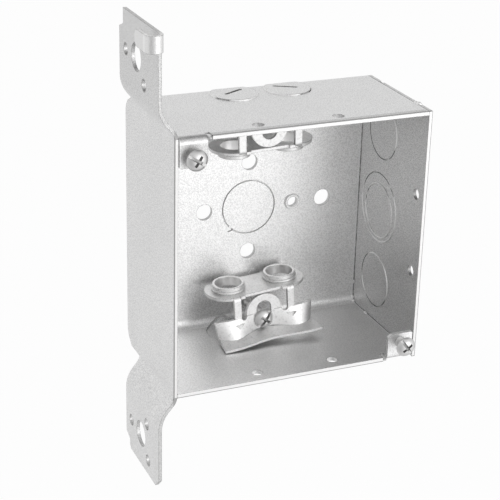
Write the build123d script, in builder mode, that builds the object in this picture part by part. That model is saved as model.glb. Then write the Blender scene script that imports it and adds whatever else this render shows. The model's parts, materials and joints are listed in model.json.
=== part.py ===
from build123d import *
from math import cos, radians, sin
import os

# A 4 inch square, 2-1/8 inch deep steel outlet box for armoured cable, on a stud bracket.
# Millimetres. +Z up, the open side faces -Y, the origin is the centre of the back's outer face.
# A depth is measured from the front edge, a back distance from the back's outer face,
# and an inset from the outer face of the wall beside it.

# Sheet and box: the side sheets are thinner than the folded body
sheet = 1.6
side_sheet = 1.3
box_size = 101.6
box_depth = 54.0
half = box_size / 2
half_in = half - side_sheet
front = -box_depth
bend_outer = 5.0
past = 5.0

# Knockouts: a sheared line from both faces leaves a thin web
line_width = 0.36
line_depth = 0.5
half_inch_ko_r = 11.2
three_quarter_ko_r = 14.3
plate_ko_back = 19.4
plate_ko_inset = 18.8
plate_ko_drop = 1.4
tab_width = 1.6
weld_nick_back = 14.0
weld_nick_length = 2.8
weld_nick_cut = 0.5

# Clamp screws, one near the top wall and one near the bottom wall
clamp_screw_inset = 9.6
clamp_screw_z = half - clamp_screw_inset
clamp_boss_r = 3.4
clamp_boss_rise = 1.6

# Back wall
grid = 19.05
mounting_hole_r = 3.3
far_hole_inset = 18.3
far_hole_r = 3.5
ground_hole_r = 2.2
ground_collar_r = 3.3
ground_collar_rise = 0.8
dent_x = 2.9
dent_drop = 11.1
dent_r = 2.6
dent_rise = 0.35

# Cable pry-outs in the top and bottom walls
cable_x = 11.1
cable_back = 10.7
pry_out_r = 9.1
pry_out_rise = 0.45
pry_line_width = 0.22
pry_tab_length = 3.4
left_tab_turn, right_tab_turn = 220, 299
pry_slot_x = 10.8
pry_slot_back = 9.3
pry_slot_length = 9.6
pry_slot_width = 1.2
pry_slot_turn = 28.0

# Small holes along the front edges
edge_hole_r = 2.2
edge_hole_depth = 5.8
edge_hole_half_pitch = 15.9
edge_hole_shift = 1.2

# Cover-screw ears
ear_width = 10.7
ear_height = 11.2
ear_gap = 0.4
ear_bend = 2.6
ear_corner, ear_free_corner = 0.8, 2.4
ear_relief = 1.6
ear_relief_depth = 3.6
cover_screw_inset_x = 7.2
cover_screw_inset_z = 7.6
cover_screw_x = half - cover_screw_inset_x
cover_screw_z = half - cover_screw_inset_z

# Screws, 8-32
shank_r = 2.03
tapped_r = 2.1
tip_chamfer = 0.55
head_r = 4.0
head_height = 2.3
head_edge = 0.6
slot_width = 1.1
slot_depth = 1.45
cross_length = 4.4
cross_width = 1.0
cross_depth = 1.85
cover_screw_length = 9.5
clamp_screw_length = 19.05

# How the screws stand: a cover screw's seat in front of the ear, and the turn of each slot in degrees
upper_stand, lower_stand = 2.3, 4.4
upper_clamp_turn, lower_clamp_turn = 20, 55
upper_cover_turn, lower_cover_turn = -32, -55

# Bracket: the side sheet steps outward and goes on as a leg above and below the box
leg_shift = 6.1
wall_bend_r = 6.0
leg_bend_r = 11.0
leg_slope = 40.0
leg_start_inset = 0.8
bracket_half = 88.9

# Outline of the bracket: shoulders, necks and the stepped rear corners of the legs
leg_back_up = 12.2
leg_back_low = 15.8
neck_rise = 3.2
shoulder_r = 7.0
up_corner_inset = 5.6
up_shoulder_back, up_shoulder_inset = 3.4, 0.3
up_elbow_back, up_elbow_rise = 8.6, 1.9
low_corner_inset = 5.8
low_shoulder_back, low_shoulder_rise = 5.6, 0.6
low_neck_slant = 0.6
up_step_depth, up_step_run = 4.4, 1.2
up_step_inner, up_step_middle, up_step_outer = 5.7, 6.3, 7.5
low_step_depth, low_step_run = 4.2, 1.4
low_step_inner, low_step_middle, low_step_outer = 3.9, 5.3, 5.7
low_toe_chamfer = 1.5
low_front_chamfer = 3.7

# Holes of the legs: a row with the strap hole, this far from the leg's end, and two front nail holes
nail_hole_r = 2.3
strap_hole_r = 5.2
up_row_inset, low_row_inset = 14.4, 13.6
up_rear_nail_back, low_rear_nail_back = 19.4, 22.2
up_strap_back, low_strap_back = 30.9, 33.6
up_nail_depth, up_nail_pitch = 15.0, 16.2
low_nail_depth, low_end_nail_depth, low_nail_pitch = 13.7, 12.2, 15.2

# Hook at the top front corner
hook_height = 6.1
hook_outer_r = 3.3
hook_reach = 1.2
hook_return = 9.4
hook_flat = 0.1

# Clamps: heights are from the screw axis toward the middle of the box
clamp_sheet = 1.2
clamp_back = 19.0
collar_half_pitch = 11.3
collar_back = 10.8
collar_bore_r = 5.4
collar_wall = 1.1
collar_rise = 2.7
collar_inner_edge = 0.25
collar_outer_edge = 0.3
bead_bulge = 0.45
bead_low, bead_high = 0.2, 1.3
clamp_plate_z = 11.2
lobe_r = 9.8
plate_rear, plate_fore = 3.6, 20.4
plate_notch = 19.4
post_x = 11.7
post_width = 3.0
post_fore = 20.6
post_bend = 1.8
tongue_fore = 19.5
tongue_half = 7.7
tongue_top = 9.7
tongue_gap = 0.4
tongue_slot_half = 3.2
tongue_slot_top = 6.6
tongue_slot_low = -3.6
side_gap_low = 0.6
seat_gap = 0.2

# Foot and lip of the clamp
foot_top = 1.9
foot_top_half, foot_top_end = 21.5, 19.1
foot_low = -5.4
foot_low_half, foot_low_end = 20.4, 20.1
foot_corner = 1.6
foot_overlap = 1.0
crest_fore = 23.0
lip_half = 21.5
lip_fore, lip_middle = 29.0, 27.4
lip_sag = 0.3
lip_tilt = 4.0
lip_overlap = 0.5
tooth_x = 11.4
tooth_half = 2.0
tooth_top, tooth_low = -0.5, -2.3
tooth_rise = 0.8
tooth_overlap = 0.2

# How the clamps lie on their screws: sideways shift, height of the screw in the slot, tilt and turn
lower_shift, lower_sink, lower_roll, lower_yaw = 0.3, 0.9, 4.0, 2.25
upper_shift, upper_sink, upper_roll, upper_yaw = 0.3, 0.4, 2.0, 0.8


def from_front(depth):
    """Y of a point that lies this far behind the front edge."""
    return front + depth


def fold_block(out, longer):
    """Filled block inside the fold, its faces this far outside the sheet's outer face, longer at the front."""
    with BuildPart() as block:
        with BuildSketch(Plane.YZ) as section:
            with Locations(((out + front - longer) / 2, 0)):
                Rectangle(out - front + longer, 2 * (half + out))
            fillet(section.vertices().group_by(Axis.X)[-1], bend_outer + out)
        extrude(amount=half_in, both=True)
    return block.part


def folded(out, thick):
    """Skin of the given thickness whose outer face lies this far outside the folded sheet's outer face."""
    with BuildPart() as skin:
        add(fold_block(out, 0))
        add(fold_block(out - thick, past), mode=Mode.SUBTRACT)
    return skin.part


def cable_columns(r_out, r_in=0.0):
    """Standing discs through the top wall, or rings with one tab left out, one at each cable place."""
    with BuildPart() as columns:
        with BuildSketch(Plane.XY.offset(half - past)):
            for side, turn in ((-1, left_tab_turn), (1, right_tab_turn)):
                with Locations((side * cable_x, -cable_back)):
                    Circle(r_out)
                    if r_in > 0:
                        Circle(r_in, mode=Mode.SUBTRACT)
                        with PolarLocations(pry_out_r, 1, start_angle=turn):
                            Rectangle(tab_width, pry_tab_length, mode=Mode.SUBTRACT)
        extrude(amount=2 * past)
    return columns.part


def cable_skin(out, thick, r_out, r_in=0.0):
    """Parts of a skin that lie in the cable rings or discs of the top wall."""
    with BuildPart() as pieces:
        add(folded(out, thick))
        add(cable_columns(r_out, r_in), mode=Mode.INTERSECT)
    return pieces.part


def knockout_line(plane, thick, centre, radius, tab_angle):
    """Sheared circle, cut from both faces of a sheet that starts at the plane, with one tab left whole."""
    with BuildPart() as line:
        for level in (0.0, thick - line_depth):
            with BuildSketch(plane.offset(level)):
                with Locations(centre):
                    Circle(radius + line_width / 2)
                    Circle(radius - line_width / 2, mode=Mode.SUBTRACT)
                    with PolarLocations(radius, 1, start_angle=tab_angle):
                        Rectangle(tab_width, tab_width, mode=Mode.SUBTRACT)
            extrude(amount=line_depth)
    return line.part


def ear():
    """Bent ear at the top left, with its part of the top wall."""
    left = -half_in + ear_gap
    with BuildPart() as inner:
        with BuildSketch(Plane.YZ.offset(left)) as space:
            with Locations((from_front(sheet + past / 2), half - sheet - ear_height)):
                Rectangle(past, 2 * ear_height)
            fillet(space.vertices().group_by(Axis.X)[0].group_by(Axis.Y)[-1], ear_bend - sheet)
        extrude(amount=ear_width)
    with BuildPart() as bent:
        with BuildSketch(Plane.YZ.offset(left)) as section:
            with Locations((from_front(past / 2), half - ear_height / 2)):
                Rectangle(past, ear_height)
            fillet(section.vertices().group_by(Axis.X)[0].group_by(Axis.Y)[-1], ear_bend)
        extrude(amount=ear_width)
        add(inner.part, mode=Mode.SUBTRACT)
        with BuildSketch(Plane.XZ.offset(-front)):
            with Locations((-cover_screw_x, cover_screw_z)):
                Circle(tapped_r)
        extrude(amount=-sheet, mode=Mode.SUBTRACT)
        fillet(bent.edges().filter_by(Axis.Y).group_by(Axis.Z)[0].sort_by(Axis.X)[0], ear_corner)
        fillet(bent.edges().filter_by(Axis.Y).group_by(Axis.Z)[0].sort_by(Axis.X)[-1], ear_free_corner)
    return bent.part


def top_features():
    """Material to take from the top wall: ear's place and relief, holes, pry-out lines and slots."""
    left = -half_in + ear_gap
    with BuildPart() as cuts:
        with BuildSketch(Plane.XY.offset(half - past)):
            with Locations((left + (ear_width - ear_gap) / 2, from_front(past / 2))):
                Rectangle(ear_width + ear_gap, past)
            with Locations((left + ear_width + ear_relief / 2, from_front((ear_relief_depth - past) / 2))):
                Rectangle(ear_relief, ear_relief_depth + past)
            for side in (-1, 1):
                with Locations((side * edge_hole_half_pitch - edge_hole_shift, from_front(edge_hole_depth))):
                    Circle(edge_hole_r)
                with Locations((side * pry_slot_x, -pry_slot_back)):
                    SlotOverall(pry_slot_length, pry_slot_width, rotation=-side * pry_slot_turn)
        extrude(amount=2 * past)
        for out in (0.0, line_depth - sheet):
            add(cable_skin(out, line_depth, pry_out_r + pry_line_width / 2, pry_out_r - pry_line_width / 2))
    return cuts.part


# Folded body: top, back and bottom in one sheet
disc_r = pry_out_r - pry_line_width / 2
raised_discs = cable_skin(pry_out_rise, pry_out_rise, disc_r)
hollowed_discs = cable_skin(pry_out_rise - sheet, pry_out_rise, disc_r)
wall_cuts = top_features()
corner_ear = ear()
dent_z = clamp_screw_z - dent_drop
with BuildPart() as box_body:
    add(folded(0, sheet))
    for turn in (0, 180):
        add(raised_discs.rotate(Axis.Y, turn))
        add(hollowed_discs.rotate(Axis.Y, turn), mode=Mode.SUBTRACT)
        add(wall_cuts.rotate(Axis.Y, turn), mode=Mode.SUBTRACT)
        add(corner_ear.rotate(Axis.Y, turn))
    # Collars drawn inward around the tapped holes, and two small pressed dents
    with BuildSketch(Plane.XZ.offset(sheet)):
        with Locations((grid, 0)):
            Circle(ground_collar_r)
    extrude(amount=ground_collar_rise, taper=12)
    with BuildSketch(Plane.XZ.offset(sheet)):
        with Locations((0, clamp_screw_z), (0, -clamp_screw_z)):
            Circle(clamp_boss_r)
    extrude(amount=clamp_boss_rise, taper=10)
    with BuildSketch(Plane.XZ.offset(sheet)):
        with Locations((dent_x, -dent_z), (-dent_x, dent_z)):
            Circle(dent_r)
    extrude(amount=dent_rise, taper=30)
    # Round holes of the back wall
    with BuildSketch(Plane.XZ):
        with Locations((-grid, 0), (0, -grid), (0, grid)):
            Circle(mounting_hole_r)
        with Locations((half - far_hole_inset, 0)):
            Circle(far_hole_r)
        with Locations((grid, 0)):
            Circle(ground_hole_r)
        with Locations((0, clamp_screw_z), (0, -clamp_screw_z)):
            Circle(tapped_r)
    extrude(amount=sheet + past, mode=Mode.SUBTRACT)
    add(knockout_line(Plane.XZ, sheet, (0, 0), half_inch_ko_r, 225), mode=Mode.SUBTRACT)

# Right side: flat plate over the ends of the fold, its knockouts in a row along the height
plate_ko_z = half - plate_ko_inset
plate_knockouts = (
    (plate_ko_z, half_inch_ko_r, 200),
    (-plate_ko_z, half_inch_ko_r, 110),
    (0, three_quarter_ko_r, 125),
    (-plate_ko_drop, half_inch_ko_r, 20),
)
with BuildPart() as right_side_plate:
    plate_face = Plane.YZ.offset(half_in)
    with BuildSketch(plate_face) as outline:
        with Locations((front / 2, 0)):
            Rectangle(box_depth, box_size)
        fillet(outline.vertices().group_by(Axis.X)[-1], bend_outer)
    extrude(amount=side_sheet)
    for level, radius, tab in plate_knockouts:
        add(knockout_line(plate_face, side_sheet, (-plate_ko_back, level), radius, tab), mode=Mode.SUBTRACT)
    with BuildSketch(plate_face):
        for side in (-1, 1):
            with Locations((from_front(edge_hole_depth), side * edge_hole_half_pitch)):
                Circle(edge_hole_r)
            # Weld nick in the long edge
            with Locations((-weld_nick_back, side * half)):
                Rectangle(weld_nick_length, 2 * weld_nick_cut)
    extrude(amount=side_sheet, mode=Mode.SUBTRACT)


def leg_slab():
    """Upper half of the side sheet as a stepped slab: wall, two bends and leg, deep enough to be trimmed."""
    step = leg_shift - (wall_bend_r + leg_bend_r) * (1 - cos(radians(leg_slope)))
    with BuildPart() as slab:
        with BuildSketch(Plane.XZ.offset(box_depth + past)):
            with BuildLine():
                wall = Line((-half_in, 0), (-half_in, half - leg_start_inset))
                out = JernArc(wall @ 1, wall % 1, wall_bend_r, leg_slope)
                slope = PolarLine(out @ 1, step / sin(radians(leg_slope)), direction=out % 1)
                back = JernArc(slope @ 1, slope % 1, leg_bend_r, -leg_slope)
                Line(back @ 1, (-half_in - leg_shift, bracket_half))
                offset(amount=side_sheet, side=Side.LEFT)
            make_face()
        extrude(amount=-(box_depth + 2 * past))
    return slab.part


def bracket_outline():
    """Side view of wall and legs: front edge, shoulders, necks, stepped ends and the chamfered lower corner."""
    up_step_y = -leg_back_up - up_step_depth
    low_step_y = -leg_back_low - low_step_depth
    up_shoulder = (-up_shoulder_back, half - up_shoulder_inset)
    up_corner = (0, half - up_corner_inset)
    low_corner = (0, low_corner_inset - half)
    low_shoulder = (-low_shoulder_back, -half - low_shoulder_rise)
    with BuildPart() as stamp:
        with BuildSketch(Plane.YZ.offset(-half - 2 * past)):
            with BuildLine():
                Polyline(
                    (front, bracket_half),
                    (up_step_y, bracket_half),
                    (up_step_y, bracket_half - up_step_inner),
                    (up_step_y + up_step_run, bracket_half - up_step_middle),
                    (-leg_back_up, bracket_half - up_step_outer),
                    (-leg_back_up, half + neck_rise),
                    (-up_elbow_back, half + up_elbow_rise),
                    up_shoulder,
                )
                RadiusArc(up_shoulder, up_corner, shoulder_r)
                Line(up_corner, low_corner)
                RadiusArc(low_corner, low_shoulder, shoulder_r)
                Polyline(
                    low_shoulder,
                    (low_neck_slant - leg_back_low, -half - low_shoulder_rise),
                    (-leg_back_low, -half - neck_rise),
                    (-leg_back_low, low_step_outer - bracket_half),
                    (-leg_back_low - low_step_run, low_step_middle - bracket_half),
                    (low_step_y, low_step_inner - bracket_half),
                    (low_step_y, low_toe_chamfer - bracket_half),
                    (low_step_y - low_toe_chamfer, -bracket_half),
                    (from_front(low_front_chamfer), -bracket_half),
                    (front, low_front_chamfer - bracket_half),
                    (front, bracket_half),
                )
            make_face()
            # Nail and strap holes of the upper leg, then of the lower leg
            with Locations((0, bracket_half - up_row_inset)):
                with Locations((-up_strap_back, 0)):
                    Circle(strap_hole_r, mode=Mode.SUBTRACT)
                with Locations(
                    (-up_rear_nail_back, 0),
                    (from_front(up_nail_depth), up_nail_pitch / 2),
                    (from_front(up_nail_depth), -up_nail_pitch / 2),
                ):
                    Circle(nail_hole_r, mode=Mode.SUBTRACT)
            with Locations((0, low_row_inset - bracket_half)):
                with Locations((-low_strap_back, 0)):
                    Circle(strap_hole_r, mode=Mode.SUBTRACT)
                with Locations(
                    (-low_rear_nail_back, 0),
                    (from_front(low_nail_depth), low_nail_pitch / 2),
                    (from_front(low_end_nail_depth), -low_nail_pitch / 2),
                ):
                    Circle(nail_hole_r, mode=Mode.SUBTRACT)
        extrude(amount=4 * past)
    return stamp.part


def hook():
    """Strip at the top front corner, bent outward and back on itself, with a rounded end."""
    x_leg = -half_in - leg_shift
    with BuildPart() as strip:
        with BuildSketch(Plane.XY.offset(bracket_half - hook_height)):
            with BuildLine():
                leg = Line((x_leg, from_front(past)), (x_leg, from_front(-hook_reach)))
                turn = JernArc(leg @ 1, leg % 1, hook_outer_r, -180)
                Line(turn @ 1, (x_leg - 2 * hook_outer_r, from_front(hook_return)))
                offset(amount=side_sheet, side=Side.RIGHT)
            make_face()
        extrude(amount=hook_height)
        free_end = strip.faces().filter_by(Axis.Y).sort_by(Axis.X)[0]
        fillet(free_end.edges().filter_by(Axis.X), (hook_height - hook_flat) / 2)
    return strip.part


# Left side: wall, bracket legs and hook in one sheet
with BuildPart() as bracket_side_plate:
    add(leg_slab())
    mirror(about=Plane.XY)
    add(bracket_outline(), mode=Mode.INTERSECT)
    add(hook())


def screw(length, slot_turn):
    """Pan head screw along Y, seat at y = 0, head toward -Y, with a slot and a cross in the head."""
    tip_y = length - tip_chamfer
    rim = head_r - 0.4 * head_edge
    with BuildPart() as body:
        with BuildSketch(Plane.XY):
            with BuildLine():
                Polyline((0, length), (shank_r - tip_chamfer, length), (shank_r, tip_y), (shank_r, 0), (rim, 0))
                ThreePointArc((rim, 0), (head_r - 0.1 * head_edge, -0.4 * head_edge), (head_r, -head_edge))
                ThreePointArc((head_r, -head_edge), (0.74 * head_r, -0.78 * head_height), (0, -head_height))
                Line((0, -head_height), (0, length))
            make_face()
        revolve(axis=Axis.Y)
        with BuildSketch(Plane.XZ.offset(head_height - slot_depth)):
            Rectangle(3 * head_r, slot_width, rotation=slot_turn)
        extrude(amount=slot_depth + past, mode=Mode.SUBTRACT)
        with BuildSketch(Plane.XZ.offset(head_height - cross_depth)):
            Rectangle(cross_length, cross_width, rotation=slot_turn + 90)
            Rectangle(cross_length, cross_width, rotation=slot_turn)
        extrude(amount=cross_depth + past, mode=Mode.SUBTRACT)
    return body.part


def wave(z, half_width, end, crest):
    """Section of the clamp's foot at one height: two crests over the cables and a flat seat in the middle."""
    right = [(head_r, -tongue_fore), (post_x, -crest), (half_width, -end)]
    left = [(-x, y) for x, y in reversed(right)]
    near = left + right
    far = [(x, y + clamp_sheet) for x, y in near]
    with BuildSketch(Plane.XY.offset(z)) as band:
        with BuildLine():
            Spline(near)
            Line(near[-1], far[-1])
            Spline(far)
            Line(far[0], near[0])
        make_face()
    return band.sketch


def wedge(shift, margin):
    """Triangle pressed in from the foot's front, deepest at its straight top; margin lets it reach past."""
    lean = (crest_fore - post_fore) / (foot_top - foot_low)
    top_y = shift - post_fore - lean * (foot_top - tooth_top)
    low_y = shift - post_fore - lean * (foot_top - tooth_low)
    with BuildPart() as pressed:
        with BuildSketch(Plane.YZ):
            with BuildLine():
                Polyline(
                    (low_y - margin, tooth_top),
                    (top_y + tooth_rise, tooth_top),
                    (low_y, tooth_low),
                    (low_y - margin, tooth_low),
                    (low_y - margin, tooth_top),
                )
            make_face()
        extrude(amount=tooth_half, both=True)
        with BuildSketch(Plane.XZ):
            with BuildLine():
                Polyline((-tooth_half, tooth_top), (tooth_half, tooth_top), (0, tooth_low), (-tooth_half, tooth_top))
            make_face()
        extrude(amount=2 * box_depth, both=True, mode=Mode.INTERSECT)
    return pressed.part


def foot():
    """Foot of the clamp: a wave that leans forward as it goes down, rounded corners, two pressed teeth."""
    low = foot_low - clamp_sheet
    lean = (crest_fore - post_fore) / (foot_top - foot_low)
    upper_wave = wave(foot_top, foot_top_half, foot_top_end, post_fore)
    lower_wave = wave(low, foot_low_half, foot_low_end, crest_fore + lean * clamp_sheet)
    with BuildPart() as saddle:
        loft([upper_wave, lower_wave])
        with BuildSketch(Plane.XZ) as face:
            with Locations((0, (foot_top + low) / 2)):
                Rectangle(2 * foot_top_half, foot_top - low)
            fillet(face.vertices().group_by(Axis.Y)[-1], foot_corner)
        extrude(amount=2 * box_depth, both=True, mode=Mode.INTERSECT)
        with Locations((-tooth_x, 0), (tooth_x, 0)):
            add(wedge(clamp_sheet, tooth_overlap))
            add(wedge(0, clamp_sheet), mode=Mode.SUBTRACT)
    return saddle.part


def lip():
    """Funnel lip in front of the foot, its root on y = 0, its edge drawn back in the middle."""
    tip_y = foot_low_end - lip_fore
    edge_y = tip_y + lip_sag
    crest_y = foot_low_end - crest_fore + lip_overlap
    seat_y = foot_low_end - tongue_fore + lip_overlap
    middle_y = foot_low_end - lip_middle
    with BuildPart() as funnel:
        with BuildSketch(Plane.XY):
            with BuildLine():
                Spline((-foot_low_half, 0), (-post_x, crest_y), (0, seat_y), (post_x, crest_y), (foot_low_half, 0))
                Line((foot_low_half, 0), (lip_half, tip_y))
                Spline((lip_half, tip_y), (lip_half / 2, edge_y), (0, middle_y), (-lip_half / 2, edge_y), (-lip_half, tip_y))
                Line((-lip_half, tip_y), (-foot_low_half, 0))
            make_face()
        extrude(amount=clamp_sheet)
    return funnel.part


def post():
    """Post of the clamp with its rounded bend into the plate, on x = 0."""
    bend_y = -post_fore + post_bend
    with BuildPart() as bent:
        with BuildSketch(Plane.YZ):
            with BuildLine():
                plate = Line((bend_y + post_bend, clamp_plate_z), (bend_y, clamp_plate_z))
                bend = JernArc(plate @ 1, plate % 1, post_bend, 90)
                Line(bend @ 1, (-post_fore, foot_top - foot_overlap))
                offset(amount=clamp_sheet, side=Side.LEFT)
            make_face()
        extrude(amount=post_width / 2, both=True)
    return bent.part


def collar():
    """Drawn tube with a bead at its root, standing on the clamp's plate, its axis along Z."""
    root = clamp_plate_z
    foot_z = root - clamp_sheet
    top = root + collar_rise
    r_out = collar_bore_r + collar_wall
    r_in_edge = collar_bore_r + collar_inner_edge
    r_out_edge = r_out - collar_outer_edge
    inner_top = top - collar_inner_edge
    outer_top = top - collar_outer_edge
    with BuildPart() as tube:
        with BuildSketch(Plane.XZ):
            with BuildLine():
                Line((collar_bore_r, foot_z), (collar_bore_r, inner_top))
                RadiusArc((collar_bore_r, inner_top), (r_in_edge, top), collar_inner_edge)
                Line((r_in_edge, top), (r_out_edge, top))
                RadiusArc((r_out_edge, top), (r_out, outer_top), collar_outer_edge)
                Line((r_out, outer_top), (r_out, root + bead_high))
                bead_middle = (r_out + bead_bulge, root + (bead_low + bead_high) / 2)
                ThreePointArc((r_out, root + bead_high), bead_middle, (r_out, root + bead_low))
                Polyline((r_out, root + bead_low), (r_out, foot_z), (collar_bore_r, foot_z))
            make_face()
        revolve(axis=Axis.Z)
    return tube.part


def clamp_plate():
    """Plate of the clamp: two round lobes, open in front of the tongue and where the posts bend down."""
    post_cut_y = -post_fore + post_bend - past
    with BuildPart() as plate:
        with BuildSketch(Plane.XY.offset(clamp_plate_z - clamp_sheet)):
            with Locations((-collar_half_pitch, -collar_back), (collar_half_pitch, -collar_back)):
                Circle(lobe_r)
            with Locations((0, -(plate_fore + plate_rear) / 2)):
                Rectangle(2 * post_x + post_width, plate_fore - plate_rear)
            with Locations((0, past - plate_rear)):
                Rectangle(6 * lobe_r, 2 * past, mode=Mode.SUBTRACT)
            with Locations((0, -plate_notch - past)):
                Rectangle(2 * (tongue_half + tongue_gap), 2 * past, mode=Mode.SUBTRACT)
            with Locations((-post_x, post_cut_y), (post_x, post_cut_y)):
                Rectangle(post_width, 2 * past, mode=Mode.SUBTRACT)
        extrude(amount=clamp_sheet)
    return plate.part


def tongue():
    """Arched tongue in front of the screw, in front view a half round on two straight sides."""
    spring = tongue_top - tongue_half
    root = foot_top - foot_overlap
    with BuildPart() as arch:
        with BuildSketch(Plane.XZ.offset(tongue_fore)):
            with Locations((0, spring)):
                Circle(tongue_half)
            with Locations((0, spring - tongue_half / 2)):
                Rectangle(2 * tongue_half, tongue_half, mode=Mode.SUBTRACT)
            with Locations((0, (spring + root) / 2)):
                Rectangle(2 * tongue_half, spring - root)
        extrude(amount=-clamp_sheet)
    return arch.part


def clamp_ways():
    """Ways through the clamp: collar bores, the screw's slot and the gaps beside the tongue."""
    gap = post_x - post_width / 2 - tongue_half
    gap_x = tongue_half + gap / 2
    with BuildPart() as ways:
        with BuildSketch(Plane.XY):
            with Locations((-collar_half_pitch, -collar_back), (collar_half_pitch, -collar_back)):
                Circle(collar_bore_r)
        extrude(amount=clamp_plate_z + collar_rise + past)
        with BuildSketch(Plane.XZ.offset(post_fore + past)):
            with Locations((0, (tongue_slot_top + tongue_slot_low) / 2)):
                SlotOverall(tongue_slot_top - tongue_slot_low, 2 * tongue_slot_half, rotation=90)
            with Locations((-gap_x, side_gap_low + gap), (gap_x, side_gap_low + gap)):
                SlotOverall(2 * gap, gap, rotation=90)
        extrude(amount=-2 * past)
    return ways.part


def clamp_stamping():
    """Lower clamp in its own frame: x = 0 in its middle, z = 0 at the slot's middle, y as in the box."""
    with BuildPart() as stamping:
        add(clamp_plate())
        add(tongue())
        add(foot())
        with Locations((-post_x, 0), (post_x, 0)):
            add(post())
        with Locations(Location((0, -foot_low_end, foot_low - clamp_sheet), (lip_tilt, 0, 0))):
            add(lip())
        with Locations((-collar_half_pitch, -collar_back), (collar_half_pitch, -collar_back)):
            add(collar())
        add(clamp_ways(), mode=Mode.SUBTRACT)
    return stamping.part


def seated(stamping, shift, sink, roll, yaw, level):
    """Clamp turned about its slot and set on its screw, level is the screw axis' height."""
    turned = stamping.moved(Location((0, clamp_back, 0)))
    turned = turned.rotate(Axis.Z, yaw).rotate(Axis.Y, -roll)
    return turned.moved(Location((shift, -clamp_back, level + sink)))


lower_blank = clamp_stamping()
upper_blank = lower_blank.mirror(Plane.XY)
with BuildPart() as lower_clamp:
    add(seated(lower_blank, lower_shift, lower_sink, lower_roll, lower_yaw, -clamp_screw_z))
with BuildPart() as upper_clamp:
    add(seated(upper_blank, upper_shift, -upper_sink, upper_roll, upper_yaw, clamp_screw_z))

# Screws, each seated in front of what it holds
clamp_seat_y = -tongue_fore - seat_gap
with BuildPart() as lower_clamp_screw:
    with Locations((0, clamp_seat_y, -clamp_screw_z)):
        add(screw(clamp_screw_length, lower_clamp_turn))
with BuildPart() as upper_clamp_screw:
    with Locations((0, clamp_seat_y, clamp_screw_z)):
        add(screw(clamp_screw_length, upper_clamp_turn))
with BuildPart() as upper_cover_screw:
    with Locations((-cover_screw_x, from_front(-upper_stand), cover_screw_z)):
        add(screw(cover_screw_length, upper_cover_turn))
with BuildPart() as lower_cover_screw:
    with Locations((cover_screw_x, from_front(-lower_stand), -cover_screw_z)):
        add(screw(cover_screw_length, lower_cover_turn))

os.makedirs("parts", exist_ok=True)
box_body.part.label = "box_body"
right_side_plate.part.label = "right_side_plate"
bracket_side_plate.part.label = "bracket_side_plate"
lower_clamp.part.label = "lower_clamp"
upper_clamp.part.label = "upper_clamp"
lower_clamp_screw.part.label = "lower_clamp_screw"
upper_clamp_screw.part.label = "upper_clamp_screw"
upper_cover_screw.part.label = "upper_cover_screw"
lower_cover_screw.part.label = "lower_cover_screw"
export_step(box_body.part, "parts/box_body.step")
export_step(right_side_plate.part, "parts/right_side_plate.step")
export_step(bracket_side_plate.part, "parts/bracket_side_plate.step")
export_step(lower_clamp.part, "parts/lower_clamp.step")
export_step(upper_clamp.part, "parts/upper_clamp.step")
export_step(lower_clamp_screw.part, "parts/lower_clamp_screw.step")
export_step(upper_clamp_screw.part, "parts/upper_clamp_screw.step")
export_step(upper_cover_screw.part, "parts/upper_cover_screw.step")
export_step(lower_cover_screw.part, "parts/lower_cover_screw.step")
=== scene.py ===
import json
import math

import bmesh
import bpy
import numpy as np
from mathutils import Matrix, Vector


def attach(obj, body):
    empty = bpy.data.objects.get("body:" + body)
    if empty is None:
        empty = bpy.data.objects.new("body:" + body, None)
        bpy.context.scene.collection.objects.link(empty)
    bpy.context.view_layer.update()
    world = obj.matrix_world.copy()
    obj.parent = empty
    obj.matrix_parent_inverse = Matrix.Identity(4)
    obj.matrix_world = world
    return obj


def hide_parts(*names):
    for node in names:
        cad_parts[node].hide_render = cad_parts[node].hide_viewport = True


# A welded steel outlet box on a stud bracket: zinc coated sheet, two cable clamps and four screws.
# The part's own frame: +Z up, the open side faces -Y, the back's outer face is y = 0.

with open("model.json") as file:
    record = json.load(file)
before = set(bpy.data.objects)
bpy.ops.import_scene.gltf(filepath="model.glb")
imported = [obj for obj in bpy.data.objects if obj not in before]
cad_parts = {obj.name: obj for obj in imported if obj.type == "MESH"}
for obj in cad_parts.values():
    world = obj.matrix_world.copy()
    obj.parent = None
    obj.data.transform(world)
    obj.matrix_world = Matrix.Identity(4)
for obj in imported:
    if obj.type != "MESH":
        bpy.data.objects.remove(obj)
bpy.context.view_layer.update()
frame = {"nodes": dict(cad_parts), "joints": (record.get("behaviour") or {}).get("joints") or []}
MM = 0.001

# Sizes of the sheets, in millimetres
FRONT = -54.0
HALF = 50.8
HALF_IN = 49.5
SHEET = 1.6

# Places on them, in millimetres: the back face of the ears, the height of their free edges above and below
# the middle, the front of the folds at the back, a line behind the row of holes near the front edges, the
# hook's low edge, and the inner face of its return leaf
EAR_BACK = -52.4
EAR_EDGE = 39.6
BACK_FOLD = -5.0
BEHIND_EDGE_HOLES = -39.0
HOOK_LOW = 82.8
LEAF_IN = -60.9


# Shader maths

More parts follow.
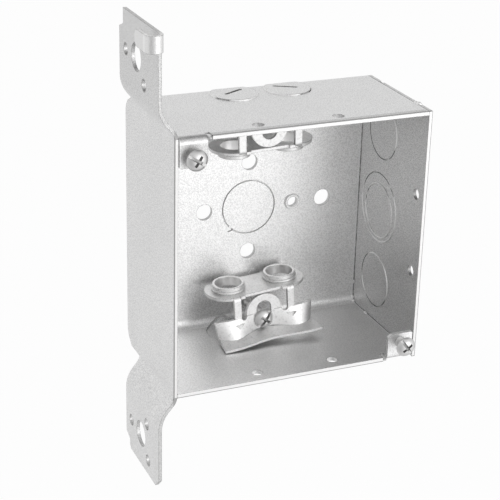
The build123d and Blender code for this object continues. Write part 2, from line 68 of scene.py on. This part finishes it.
class Value:
    """A socket in a node tree. Arithmetic on values adds their Math nodes."""

    def __init__(self, nodes, socket):
        self.nodes = nodes
        self.socket = socket

    def _math(self, operation, *inputs):
        return self.nodes.node("ShaderNodeMath", {"operation": operation}, dict(enumerate(inputs)))

    def __add__(self, other):
        return self._math("ADD", self, other)

    __radd__ = __add__

    def __sub__(self, other):
        return self._math("SUBTRACT", self, other)

    def __rsub__(self, other):
        return self._math("SUBTRACT", other, self)

    def __mul__(self, other):
        return self._math("MULTIPLY", self, other)

    __rmul__ = __mul__

    def __abs__(self):
        return self._math("ABSOLUTE", self)

    def larger(self, other):
        return self._math("MAXIMUM", self, other)

    def step(self, low, high):
        """Smooth step from 0 at low to 1 at high."""
        settings = {"interpolation_type": "SMOOTHSTEP"}
        inputs = {"Value": self, "From Min": low, "From Max": high}
        return self.nodes.node("ShaderNodeMapRange", settings, inputs)

    def below(self, low, high):
        """Smooth step down from 1 at low to 0 at high."""
        return 1 - self.step(low, high)

    def within(self, low, high):
        """1 while the value is nearer to zero than low, and 0 from high on."""
        return 1 - abs(self).step(low, high)


class Nodes:
    """A node tree under construction."""

    def __init__(self, tree):
        self.tree = tree
        tree.nodes.clear()

    def node(self, kind, settings, inputs, output=0):
        """Adds a node, sets its settings, then its sockets to the values or links given, and returns one
        of its outputs."""
        made = self.tree.nodes.new(kind)
        for key, setting in settings.items():
            setattr(made, key, setting)
        for key, value in inputs.items():
            if isinstance(value, Value):
                self.tree.links.new(value.socket, made.inputs[key])
            else:
                made.inputs[key].default_value = value
        return Value(self, made.outputs[output])

    def parts(self, vector):
        """X, Y and Z of a vector."""
        split = self.node("ShaderNodeSeparateXYZ", {}, {0: vector}).socket.node
        return [Value(self, split.outputs[key]) for key in ("X", "Y", "Z")]

    def show(self, kind, shader):
        """Ends the tree in an output node of this kind."""
        out = self.tree.nodes.new(kind)
        self.tree.links.new(shader.socket, out.inputs["Surface"])


class Finish(Nodes):
    """A material under construction, with the place and the facing of its surface on the piece."""

    def __init__(self, name):
        self.material = bpy.data.materials.new(name)
        self.material.use_nodes = True
        super().__init__(self.material.node_tree)
        where = self.node("ShaderNodeTexCoord", {}, {}, "Object")
        self.place = self.node("ShaderNodeVectorMath", {"operation": "SCALE"}, {0: where, "Scale": 1 / MM})
        self.facing = Value(self, where.socket.node.outputs["Normal"])

    def noise(self, scale, detail=2.0, roughness=0.5, stretch=(1, 1, 1), distortion=0.0):
        """Noise from 0 to 1 over the place, scale in features per millimetre, stretched along the axes."""
        at = self.node("ShaderNodeMapping", {}, {"Vector": self.place, "Scale": stretch})
        inputs = {"Vector": at, "Scale": scale, "Detail": detail}
        inputs.update({"Roughness": roughness, "Distortion": distortion})
        return self.node("ShaderNodeTexNoise", {}, inputs, "Fac")

    def mix(self, share, first, second):
        """Colour that goes from first to second as share goes from 0 to 1."""
        return self.node("ShaderNodeMix", {"data_type": "RGBA"}, {0: share, 6: first, 7: second}, 2)

    def metal(self, colour, rough, height, relief, edge_round, edge_dark):
        """Metal with a bump of the height field, relief in millimetres, over softly rounded edges that take
        this share of a
        dark line: painted shade along every edge, and dull bare steel on the sheared ones."""
        rounded = self.node("ShaderNodeBevel", {"samples": 4}, {"Radius": edge_round * MM})
        flat = self.node("ShaderNodeNewGeometry", {}, {}, "Normal")
        inputs = {0: rounded, 1: flat}
        along = self.node("ShaderNodeVectorMath", {"operation": "DOT_PRODUCT"}, inputs, "Value")
        # painted shade line along every edge, which is also dull bare steel on the sheared edges
        colour = self.mix((1 - along).step(0.004, 0.06) * edge_dark, colour, grey(0.12, 0.01))
        bump = self.node("ShaderNodeBump", {}, {"Distance": relief * MM, "Height": height, "Normal": rounded})
        inputs = {"Base Color": colour, "Roughness": rough, "Metallic": 1.0, "Normal": bump}
        self.show("ShaderNodeOutputMaterial", self.node("ShaderNodeBsdfPrincipled", {}, inputs))
        return self.material


def grey(level, warmth=0.0):
    """Neutral colour of this linear level, a little warmer or cooler."""
    return (level * (1 + warmth), level, level * (1 - warmth), 1.0)


def zinc_sheet(name, level, spread, edge_round, edge_dark, find_darkening, find_seams_and_highlights=None, find_hook_highlights=None):
    """Galvanized sheet: fine speckle and grain that spread about the level, soft clouds, painted shade in the
    holes (partly dull sheared steel), a painted highlight on the front edges with a band of painted shade
    behind them on the outer faces, dark seams with painted highlights beside them, and a painted highlight on
    the hook."""
    f = Finish(name)
    x, y, z = f.parts(f.place)
    speckle = f.noise(0.9, 2.0, 0.6)
    grain = f.noise(2.3, 1.0, 0.5)
    cloud = f.noise(0.05, 3.0, 0.55, distortion=0.6)
    scuff = f.noise(0.5, 4.0, 0.7).step(0.64, 0.8)
    on_box = x.within(HALF + 0.2, HALF + 0.4)
    rim = abs(x).step(HALF_IN - 0.2, HALF_IN).larger(abs(z).step(HALF - SHEET - 0.2, HALF - SHEET))
    front_edge = (y - FRONT).within(0.04, 0.14) * rim * on_box
    outside = abs(z).step(HALF - 0.35, HALF - 0.25).larger(abs(x).step(HALF - 0.3, HALF - 0.2))
    edge_shade_band = (y - FRONT).below(0.5, 0.9) * outside * on_box
    shear_marks = f.noise(1.3, 2.0, 0.6)
    tone = 0.5 + 0.8 * (speckle - 0.5) + 4.2 * (grain - 0.5) + 0.5 * (cloud - 0.5)
    plain = f.mix(tone, grey(level * (1 - spread)), grey(level * (1 + spread), 0.003))
    worn = f.mix(scuff * 0.25, plain, grey(level * 1.12, 0.005))
    # painted shade in holes, grooves and cuts (partly dull sheared steel), and other darker places
    colour = f.mix(find_darkening(f, x, y, z), worn, grey(0.1, 0.01))
    if find_seams_and_highlights:
        dark, bright = find_seams_and_highlights(f, x, y, z)
        # painted highlight on the sheared edge beside the seam and on the ears' edges
        colour = f.mix(bright * speckle, colour, grey(0.97))
        colour = f.mix(dark * (0.4 + 0.5 * speckle.step(0.4, 0.6)), colour, grey(0.05))
    # painted highlight on the front edges
    colour = f.mix(front_edge * 0.8, colour, grey(0.9, 0.003))
    # band of painted shade on the outer faces just behind the front edges
    colour = f.mix(edge_shade_band * 0.6, colour, grey(0.12, 0.01))
    gloss = 0.42 + 0.15 * (speckle - 0.5) + 0.08 * (cloud - 0.5) - 0.04 * scuff
    if find_hook_highlights:
        leaf, curl = find_hook_highlights(x, y, z)
        # painted highlight on the hook's return leaf and bend
        colour = f.mix((leaf + curl) * 0.6, colour, grey(0.97, 0.003))
        gloss = gloss - 0.08 * curl
    height = 0.3 * speckle + grain + 0.4 * front_edge * shear_marks
    return f.metal(colour, gloss, height, relief=0.06, edge_round=edge_round, edge_dark=edge_dark)


def body_darkening(f, x, y, z):
    """Darker places of the folded body: painted shade, partly dull sheared steel, on the walls of its holes,
    which face along the sheet that they pass through; painted shade in the nick of the back knockout's tab
    and on the right side of the bottom; and a darker upper ear with the front strip of its wall."""
    _, across_back, across_end = f.parts(f.facing)
    in_back = y.step(-SHEET - 0.1, -SHEET + 0.02) * z.within(44.0, 45.0)
    in_ends = abs(z).step(HALF - SHEET - 0.1, HALF - SHEET) * y.below(BACK_FOLD - 1.5, BACK_FOLD - 0.5)
    back_holes = in_back * across_back.within(0.3, 0.6)
    end_holes = in_ends * across_end.within(0.3, 0.6)
    near_front = y.below(BEHIND_EDGE_HOLES - 1.0, BEHIND_EDGE_HOLES)
    nick_x, nick_z, cos_nick, sin_nick = -7.7, -9.3, 0.95, 0.31
    right, up = x - nick_x, z - nick_z
    along, across = cos_nick * right + sin_nick * up, cos_nick * up - sin_nick * right
    nick = along.within(1.1, 1.4) * across.within(0.15, 0.4) * in_back
    upper_ear = y.below(EAR_BACK + 1.0, EAR_BACK + 1.4) * z.step(20.0, 21.0)
    bottom = z.below(SHEET - HALF, SHEET + 0.1 - HALF) * x.step(-40.0, -5.0)
    # painted shade in the holes and the nick, darker upper ear, painted shade on the bottom's right side
    darker = (0.42 * back_holes).larger(0.4 * end_holes * (1 - 0.6 * near_front))
    return darker.larger(0.9 * nick).larger(0.24 * upper_ear).larger(0.2 * bottom)


def plate_shade(f, x, y, z):
    """Painted shade, partly dull sheared steel, on the walls of the holes and lines in the right sheet,
    inside its own outline.
    """
    inside = z.within(HALF - 0.3, HALF - 0.1) * y.step(FRONT + 0.2, FRONT + 0.3) * y.below(-0.3, -0.2)
    # painted shade in the holes and grooves
    return 0.65 * f.parts(f.facing)[0].within(0.3, 0.6) * inside


def bracket_darkening(f, x, y, z):
    """Darker places of the bracket: painted shade, partly dull sheared steel, on its edges and hole walls,
    which face along the sheet and on the hook up or down; and a darker upper leg."""
    across_sheet, _, up = f.parts(f.facing)
    behind_hook = y.step(FRONT - 0.3, FRONT - 0.1)
    # painted shade on the edges and hole walls
    edges = across_sheet.within(0.3, 0.6) * behind_hook.larger(abs(up).step(0.5, 0.9))
    return (0.3 * edges).larger(0.13 * z.step(HALF - 0.8, HALF + 11.2))


def hook_highlights(x, y, z):
    """The hook's return leaf and its bend in front, both given a painted highlight that makes them brighter
    than the leg.
    """
    at_hook = z.step(HOOK_LOW - 0.2, HOOK_LOW)
    leaf = x.below(LEAF_IN + 0.3, LEAF_IN + 0.7) * at_hook * y.step(FRONT - 2.2, FRONT - 0.4)
    return leaf, at_hook * y.below(FRONT - 0.2, FRONT + 0.4)


def seams_and_highlights(f, x, y, z):
    """Dark gap where the folded body meets the side sheets, and painted highlights on the body's sheared
    edges: the one beside the gap, and those of the ears."""
    dark = abs(x).step(HALF_IN - 0.38, HALF_IN - 0.2)
    beside = abs(x).step(HALF_IN - 1.0, HALF_IN - 0.8) * (1 - dark)
    up = abs(f.parts(f.facing)[2]).step(0.5, 0.8)
    ear_edge_highlight = y.below(EAR_BACK, EAR_BACK + 0.2) * z.within(EAR_EDGE + 1.4, EAR_EDGE + 1.7) * up
    return dark, beside.larger(ear_edge_highlight)


def bright_zinc(name, level, rough, burnished_highlight=None):
    """Bright zinc plate on a stamping or a bead: fine grain, soft clouds, rubbed spots and dull flecks, and
    drawn places that are burnished, with a painted highlight on them."""
    f = Finish(name)
    grain = f.noise(2.6, 3.0, 0.6)
    cloud = f.noise(0.25, 3.0, 0.6, distortion=0.8)
    rubbed = f.noise(0.7, 4.0, 0.7).step(0.58, 0.75)
    tone = 0.5 + 0.4 * (grain - 0.5) + 0.6 * (cloud - 0.5)
    plain = f.mix(tone, grey(level * 0.88), grey(level * 1.1, 0.004))
    flecks = f.noise(1.2, 3.0, 0.7).step(0.5, 0.68)
    bright = f.mix(rubbed * 0.4, plain, grey(0.9, 0.004))
    colour = f.mix(flecks * 0.35, bright, grey(0.4, 0.01))
    gloss = rough + 0.12 * (grain - 0.5) + 0.12 * (cloud - 0.5) - 0.06 * rubbed
    if burnished_highlight:
        drawn_highlight = burnished_highlight(f)
        # painted highlight inside the collar bores, on metal that is also burnished
        colour = f.mix(drawn_highlight, colour, grey(0.97, 0.004))
        gloss = gloss - 0.15 * drawn_highlight
    height = grain + 0.8 * cloud
    return f.metal(colour, gloss, height, relief=0.09, edge_round=0.25, edge_dark=0.7)


def collar_bores(shift, height, roll, yaw):
    """Bores of a clamp's two collars: the places within a radius of their axes, in the clamp's own frame."""
    clamp_back, collar_x, collar_y, bore_r = -19.0, 11.3, 8.2, 5.6

    def find(f):
        rolled = Matrix.Rotation(-math.radians(roll), 3, "Y")
        turned = (rolled @ Matrix.Rotation(math.radians(yaw), 3, "Z")).to_euler()
        inputs = {"Vector": f.place, "Location": (shift, clamp_back, height), "Rotation": turned}
        x, y, _ = f.parts(f.node("ShaderNodeMapping", {"vector_type": "TEXTURE"}, inputs))
        out, back = abs(x) - collar_x, y - collar_y
        return (out * out + back * back).below(bore_r ** 2, (bore_r + 0.3) ** 2)
    return find


def screw_zinc(name, level, rough):
    """Plated screw steel: smooth, with fine grain, small dull marks and a shaded recess."""
    f = Finish(name)
    grain = f.noise(4.0, 3.0, 0.6)
    marks = f.noise(1.1, 4.0, 0.65).step(0.55, 0.75)
    tone = 0.6 + 0.4 * (grain - 0.5) - 0.35 * marks
    recess = f.node("ShaderNodeAttribute", {"attribute_name": "recess"}, {}, "Fac")
    plain = f.mix(tone, grey(level * 0.8), grey(level * 1.1, 0.006))
    walls = recess.step(0.02, 0.1) * f.parts(f.facing)[1].within(0.3, 0.6)
    cross_floor = recess.step(0.84, 0.96)
    colour = f.mix((0.4 * walls).larger(0.5 * cross_floor), plain, grey(0.14, 0.006))
    gloss = rough + 0.12 * (grain - 0.5) + 0.12 * marks
    return f.metal(colour, gloss, grain, relief=0.012, edge_round=0.15, edge_dark=0.7)


body_finish = zinc_sheet(
    "galvanized_body", level=0.9, spread=0.13, edge_round=0.3, edge_dark=0.7, find_darkening=body_darkening,
    find_seams_and_highlights=seams_and_highlights
)
# The right sheet is the same zinc at a lower level: painted shade for the inner right wall
plate_shaded_finish = zinc_sheet(
    "galvanized_plate_shaded", level=0.72, spread=0.2, edge_round=0.15, edge_dark=0.4, find_darkening=plate_shade
)
bracket_finish = zinc_sheet(
    "galvanized_bracket", level=0.85, spread=0.15, edge_round=0.28, edge_dark=0.7, find_darkening=bracket_darkening,
    find_hook_highlights=hook_highlights
)
burr_finish = bright_zinc("bright_burr", level=0.95, rough=0.3)
lower_bores = collar_bores(shift=0.3, height=-40.3, roll=4.0, yaw=2.25)
lower_clamp_finish = bright_zinc("lower_clamp_zinc", level=0.91, rough=0.48, burnished_highlight=lower_bores)
upper_bores = collar_bores(shift=0.3, height=40.8, roll=2.0, yaw=0.8)
upper_clamp_finish = bright_zinc("upper_clamp_zinc", level=0.91, rough=0.48, burnished_highlight=upper_bores)
screw_finish = screw_zinc("screw_zinc", level=0.72, rough=0.38)


# Surfaces from numpy. Edges of the screws turn sharp from this angle, in degrees.
SHARP_FROM = 32

def piece(name, points, faces, material, smooth=True):
    """New mesh object of these points and faces, its place in its mesh."""
    mesh = bpy.data.meshes.new(name)
    mesh.from_pydata(points.tolist(), [], faces.tolist() if hasattr(faces, "tolist") else faces)
    work = bmesh.new()
    work.from_mesh(mesh)
    bmesh.ops.remove_doubles(work, verts=work.verts, dist=1e-7)
    work.to_mesh(mesh)
    work.free()
    mesh.polygons.foreach_set("use_smooth", np.full(len(mesh.polygons), smooth))
    mesh.materials.append(material)
    made = bpy.data.objects.new(name, mesh)
    bpy.context.scene.collection.objects.link(made)
    return made


def wrapped_grid(rows, around):
    """Quads of a grid of points, rows by around, whose last column joins the first."""
    i = np.arange(rows - 1)[:, None] * around
    j = np.arange(around)[None, :]
    k = (j + 1) % around
    return np.stack([i + j, i + k, i + k + around, i + j + around], -1).reshape(-1, 4)


def joined(grids):
    """Points and faces of several grids as one."""
    starts = np.cumsum([0] + [len(points) for points, _ in grids[:-1]])
    faces = [faces + start for (_, faces), start in zip(grids, starts)]
    return np.vstack([points for points, _ in grids]), np.vstack(faces)


def threaded_shank(centre, length, seat_y):
    """Screw thread along +Y. The radius at a turn angle and a height is a triangle wave of height over pitch
    minus the turn, cut flat at crest and root; it fades out at the head and closes to the axis at the tip."""
    pitch, crest, root, under_head, flat = 0.79375, 2.06, 1.60, 0.5, 0.12
    tip = root - 0.25
    around, per_pitch = 56, 14
    run = np.arange(0, length + 1e-9, pitch / per_pitch)
    angle = np.arange(around) / around * 2 * math.pi
    phase = run[:, None] / pitch - angle[None, :] / (2 * math.pi)
    wave = np.clip((np.abs((phase % 1.0) * 2 - 1) - flat) / (1 - 2 * flat), 0, 1)
    cut = np.clip((run - under_head) / pitch, 0, 1)[:, None]
    point = np.clip((length - run) / (1.1 * pitch), 0, 1)[:, None]
    radius = crest - (crest - root) * (1 - wave) * cut
    radius = np.minimum(radius, tip + (crest - tip) * point)
    pole = np.zeros((1, around))
    run = np.concatenate([[0.0], run, [length, length]])
    radius = np.vstack([pole, radius, radius[-1:] * 0.6, pole])
    x = centre[0] + radius * np.cos(angle) * MM
    z = centre[1] - radius * np.sin(angle) * MM
    y = seat_y + np.broadcast_to(run[:, None], radius.shape) * MM
    return np.stack([x, y, z], -1).reshape(-1, 3), wrapped_grid(len(run), around)


def head_of(node, seat_y):
    """Points and faces of a screw node's head: the merged copy, cut at the seat, the cut closed."""
    work = bmesh.new()
    work.from_mesh(frame["nodes"][node].data)
    bmesh.ops.remove_doubles(work, verts=work.verts, dist=1e-7)
    everything = work.verts[:] + work.edges[:] + work.faces[:]
    cut = (0, seat_y + 0.02 * MM, 0)
    bmesh.ops.bisect_plane(work, geom=everything, plane_co=cut, plane_no=(0, 1, 0), clear_outer=True)
    rim = [edge for edge in work.edges if edge.is_boundary]
    bmesh.ops.holes_fill(work, edges=rim, sides=0)
    bmesh.ops.recalc_face_normals(work, faces=work.faces)
    work.verts.index_update()
    points = np.array([vert.co[:] for vert in work.verts])
    faces = [[vert.index for vert in face.verts] for face in work.faces]
    work.free()
    return points, faces


def slot_depth(points, seat, height=2.3, dome=0.0067, margin=0.1, deepest=1.8):
    """How deep each point lies under the head's dome, from 0 to 1: its distance behind the crown, less the
    dome's own fall, which grows with the fourth power of the radius."""
    x, y, z = ((points - np.array(seat)) / MM).T
    fall = dome * (x * x + z * z) ** 2
    return np.where(y < 0, np.clip((y + height - fall - margin) / deepest, 0, 1), 0)


def threaded_screw(node, length):
    """A screw node's own head with a threaded shank behind it, in one piece."""
    seat = next(joint for joint in frame["joints"] if joint["name"] == node + "_turn")["pos_m"]
    head_points, head_faces = head_of(node, seat[1])
    shank_points, shank_faces = threaded_shank((seat[0], seat[2]), length, seat[1])
    points = np.vstack([head_points, shank_points])
    faces = head_faces + (shank_faces + len(head_points)).tolist()
    made = piece(node + "_threaded", points, faces, screw_finish)
    placed = np.zeros(3 * len(made.data.vertices))
    made.data.vertices.foreach_get("co", placed)
    recess = made.data.attributes.new("recess", "FLOAT", "POINT")
    recess.data.foreach_set("value", slot_depth(placed.reshape(-1, 3), seat))
    made.data.set_sharp_from_angle(angle=math.radians(SHARP_FROM))
    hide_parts(node)
    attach(made, node)


def weld_bead(centre, size, seed):
    """Weld nugget: a squashed ball whose radius is rippled by a few waves over its two angles."""
    rng = np.random.default_rng(seed)
    rows, around, waves, ripple_size = 14, 22, 5, 0.09
    lat = np.linspace(0, math.pi, rows)[:, None]
    lon = np.linspace(0, 2 * math.pi, around, endpoint=False)[None, :]
    ripple = np.ones((rows, around))
    for _ in range(waves):
        m, n = rng.integers(1, 5, 2)
        a, b = rng.uniform(0, 2 * math.pi, 2)
        ripple += ripple_size * np.sin(m * lon + a) * np.sin(n * lat + b) * np.sin(lat)
    ball = [np.sin(lat) * np.cos(lon), np.sin(lat) * np.sin(lon), np.cos(lat) + 0 * lon]
    points = np.array(centre) + (ripple * np.stack(ball)).reshape(3, -1).T * np.array(size)
    return points * MM, wrapped_grid(rows, around)


def burr(across, up, centre, radius, first, last, bead):
    """Fine burr beside a sheared line: a round bead along an arc about the centre, from the first angle to
    the last, in degrees from the direction across toward the direction up. Its radius grows with the angle
    from either end, up to the bead's full radius."""
    along, around = 120, 10
    turn = np.radians(np.linspace(first, last, along))[:, None, None]
    roll = np.linspace(0, 2 * math.pi, around, endpoint=False)[None, :, None]
    thick = bead * np.clip(np.minimum(turn - turn[0], turn[-1] - turn) * 4, 0, 1)
    across, up = np.array(across), np.array(up)
    outward = np.cos(turn) * across + np.sin(turn) * up
    beside = (radius + thick * np.cos(roll)) * outward
    points = np.array(centre) + beside - thick * np.sin(roll) * np.cross(across, up)
    return points.reshape(-1, 3) * MM, wrapped_grid(along, around)


COVER_SCREW, CLAMP_SCREW = 9.5, 19.05
for node, length in (
    ("upper_cover_screw", COVER_SCREW),
    ("lower_cover_screw", COVER_SCREW),
    ("upper_clamp_screw", CLAMP_SCREW),
    ("lower_clamp_screw", CLAMP_SCREW),
):
    threaded_screw(node, length)

# Weld nuggets where the side sheets are joined to the folded body. Each has its centre and its three radii.
beads = (
    ((50.0, -44.7, 50.9), (1.0, 1.3, 0.75)),
    ((49.8, -42.6, 50.8), (0.9, 1.0, 0.5)),
    ((49.1, -2.0, -40.1), (0.6, 0.7, 0.8)),
    ((49.1, -2.0, -47.2), (0.6, 0.7, 0.6)),
    ((49.0, -2.8, -48.7), (0.8, 0.9, 0.7)),
    ((48.8, -14.8, -49.0), (0.8, 1.2, 0.55)),
)
nuggets = [weld_bead(centre, size, seed) for seed, (centre, size) in enumerate(beads)]
welds = piece("weld_beads", *joined(nuggets), burr_finish)
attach(welds, "box")

# Burrs of the sheared lines: of the knockouts in the right sheet, of the pry-out discs in the top and the
# bottom, and of the small dents in the back. Lengths are in millimetres, angles in degrees.
X_AXIS, Y_AXIS, Z_AXIS = (1, 0, 0), (0, 1, 0), (0, 0, 1)
KNOCKOUT_Y, SMALL_R, LARGE_R = -19.4, 11.2, 14.3
PRY_OUT_X, PRY_OUT_Y, PRY_OUT_R, PRY_OUT_RISE, PRY_OUT_BEAD = 11.1, -10.7, 9.05, 0.15, 0.4
DENT_X, DENT_Z, DENT_R, DENT_BEAD = 2.9, 30.1, 2.6, 0.16
# Height of the centre, radius, first angle, last angle, and the bead's radius
knockout_arcs = (
    (32.0, SMALL_R, 125, 205, 0.42),
    (32.0, SMALL_R, 230, 250, 0.28),
    (-32.0, SMALL_R, 48, 212, 0.34),
    (-32.0, SMALL_R, 300, 360, 0.28),
    (0.0, LARGE_R, 134, 390, 0.34),
    (-1.4, SMALL_R, 28, 372, 0.34),
)
# Side of the middle, first angle and last angle
pry_out_arcs = ((-1, -278, -142), (-1, -118, -55), (1, -196, -52))
burrs = [burr(Y_AXIS, Z_AXIS, (HALF_IN, KNOCKOUT_Y, height), *arc) for height, *arc in knockout_arcs]
for end in (1, -1):
    for side, first, last in pry_out_arcs:
        centre = (end * side * PRY_OUT_X, PRY_OUT_Y, end * (HALF + PRY_OUT_RISE))
        burrs.append(burr(Y_AXIS, (end, 0, 0), centre, PRY_OUT_R, first, last, PRY_OUT_BEAD))
    dent = (end * DENT_X, -SHEET, -end * DENT_Z)
    burrs.append(burr(Z_AXIS, X_AXIS, dent, DENT_R, 15 - 90 * end, 110 - 90 * end, DENT_BEAD))
burr_piece = piece("knockout_burrs", *joined(burrs), burr_finish)
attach(burr_piece, "box")

# Curled burrs that close the reliefs beside the cover-screw ears
RELIEF_X, RELIEF_SIZE, RELIEF_SEED = 37.6, (1.0, 1.9, 0.78), 11
curl_centres = [(-end * RELIEF_X, FRONT + 1.2, end * (HALF - 0.8)) for end in (1, -1)]
curls = [weld_bead(centre, RELIEF_SIZE, RELIEF_SEED) for centre in curl_centres]
relief_burrs = piece("relief_burrs", *joined(curls), burr_finish)
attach(relief_burrs, "box")

# Finishes of the CAD nodes
for node, finish in (
    ("box_body", body_finish),
    ("right_side_plate", plate_shaded_finish),
    ("bracket_side_plate", bracket_finish),
    ("lower_clamp", lower_clamp_finish),
    ("upper_clamp", upper_clamp_finish),
):
    slots = frame["nodes"][node].data.materials
    slots.clear()
    slots.append(finish)


# Floor, light and camera

def floor_finish():
    """Matte white floor that is almost pure white to the camera, with a trace of the part's soft shadow."""
    f = Finish("floor_white")
    seen = f.node("ShaderNodeLightPath", {}, {}, "Is Camera Ray")
    matte = f.node("ShaderNodeBsdfDiffuse", {}, {"Color": grey(0.9)})
    glow = f.node("ShaderNodeEmission", {}, {"Strength": 1.0})
    f.show("ShaderNodeOutputMaterial", f.node("ShaderNodeMixShader", {}, {0: seen * 0.95, 1: matte, 2: glow}))
    return f.material


def studio_world(plain, bright, dark, overhead):
    """White to the camera. Around the part, a plain level with a brighter side at the front right and darker
    sides at the front left and overhead, as a large soft box and an unlit wall and ceiling give it."""
    world = bpy.data.worlds.new("studio")
    bpy.context.scene.world = world
    world.use_nodes = True
    w = Nodes(world.node_tree)
    toward = w.node("ShaderNodeTexCoord", {}, {}, "Generated")

    def side(direction, low, high):
        """1 toward the direction, falling to 0 away from it, between two cosines of the angle."""
        aim = Vector(direction).normalized()
        inputs = {0: toward, 1: aim}
        return w.node("ShaderNodeVectorMath", {"operation": "DOT_PRODUCT"}, inputs, "Value").step(low, high)

    front_right = bright * side((0.43, -0.85, -0.1), 0.25, 0.95)
    front_left = dark * side((-0.5, -0.8, -0.35), 0.6, 0.98)
    above = overhead * side((0.37, 0.15, 0.93), 0.82, 0.98)
    light = plain + front_right - front_left - above
    seen = w.node("ShaderNodeLightPath", {}, {}, "Is Camera Ray")
    inputs = {"Strength": light * (1 - seen) + seen, "Color": grey(1.0)}
    w.show("ShaderNodeOutputWorld", w.node("ShaderNodeBackground", {}, inputs))


def softbox(name, place, aim, size, power):
    """Square area lamp at a place, facing the aim point."""
    lamp = bpy.data.lights.new(name, "AREA")
    lamp.size = size
    lamp.energy = power
    made = bpy.data.objects.new(name, lamp)
    bpy.context.scene.collection.objects.link(made)
    made.location = place
    made.rotation_euler = (Vector(aim) - Vector(place)).to_track_quat("-Z", "Y").to_euler()


floor_half, floor_z = 6.0, -0.6
corners = np.array([(-1, -1), (1, -1), (1, 1), (-1, 1)]) * floor_half
floor_points = np.column_stack([corners, np.full(4, floor_z)])
floor = piece("floor", floor_points, [[0, 1, 2, 3]], floor_finish(), smooth=False)
floor.visible_glossy = False
studio_world(plain=0.785, bright=0.28, dark=0.3, overhead=0.6)
softbox("key_light", place=(0.8, -1.6, 0.25), aim=(0, 0, 0), size=0.9, power=5.0)

# The camera's lens in millimetres and place in metres come from the box's own corners in the photograph
view = bpy.data.cameras.new("view")
view.lens = 105.225
view.sensor_width = 36.0
camera = bpy.data.objects.new("view", view)
bpy.context.scene.collection.objects.link(camera)
right = Vector((0.92129161, -0.38816499, 0.0234459))
down = Vector((-0.13177062, -0.36833967, -0.9203056))
forward = Vector((0.36586647, 0.84478034, -0.39049699))
eye = (-0.21628, -0.50357, 0.21305)
turn = Matrix((right, -down, -forward)).transposed().to_4x4()
camera.matrix_world = Matrix.Translation(eye) @ turn
bpy.context.scene.camera = camera
bpy.context.scene.view_settings.view_transform = "Standard"
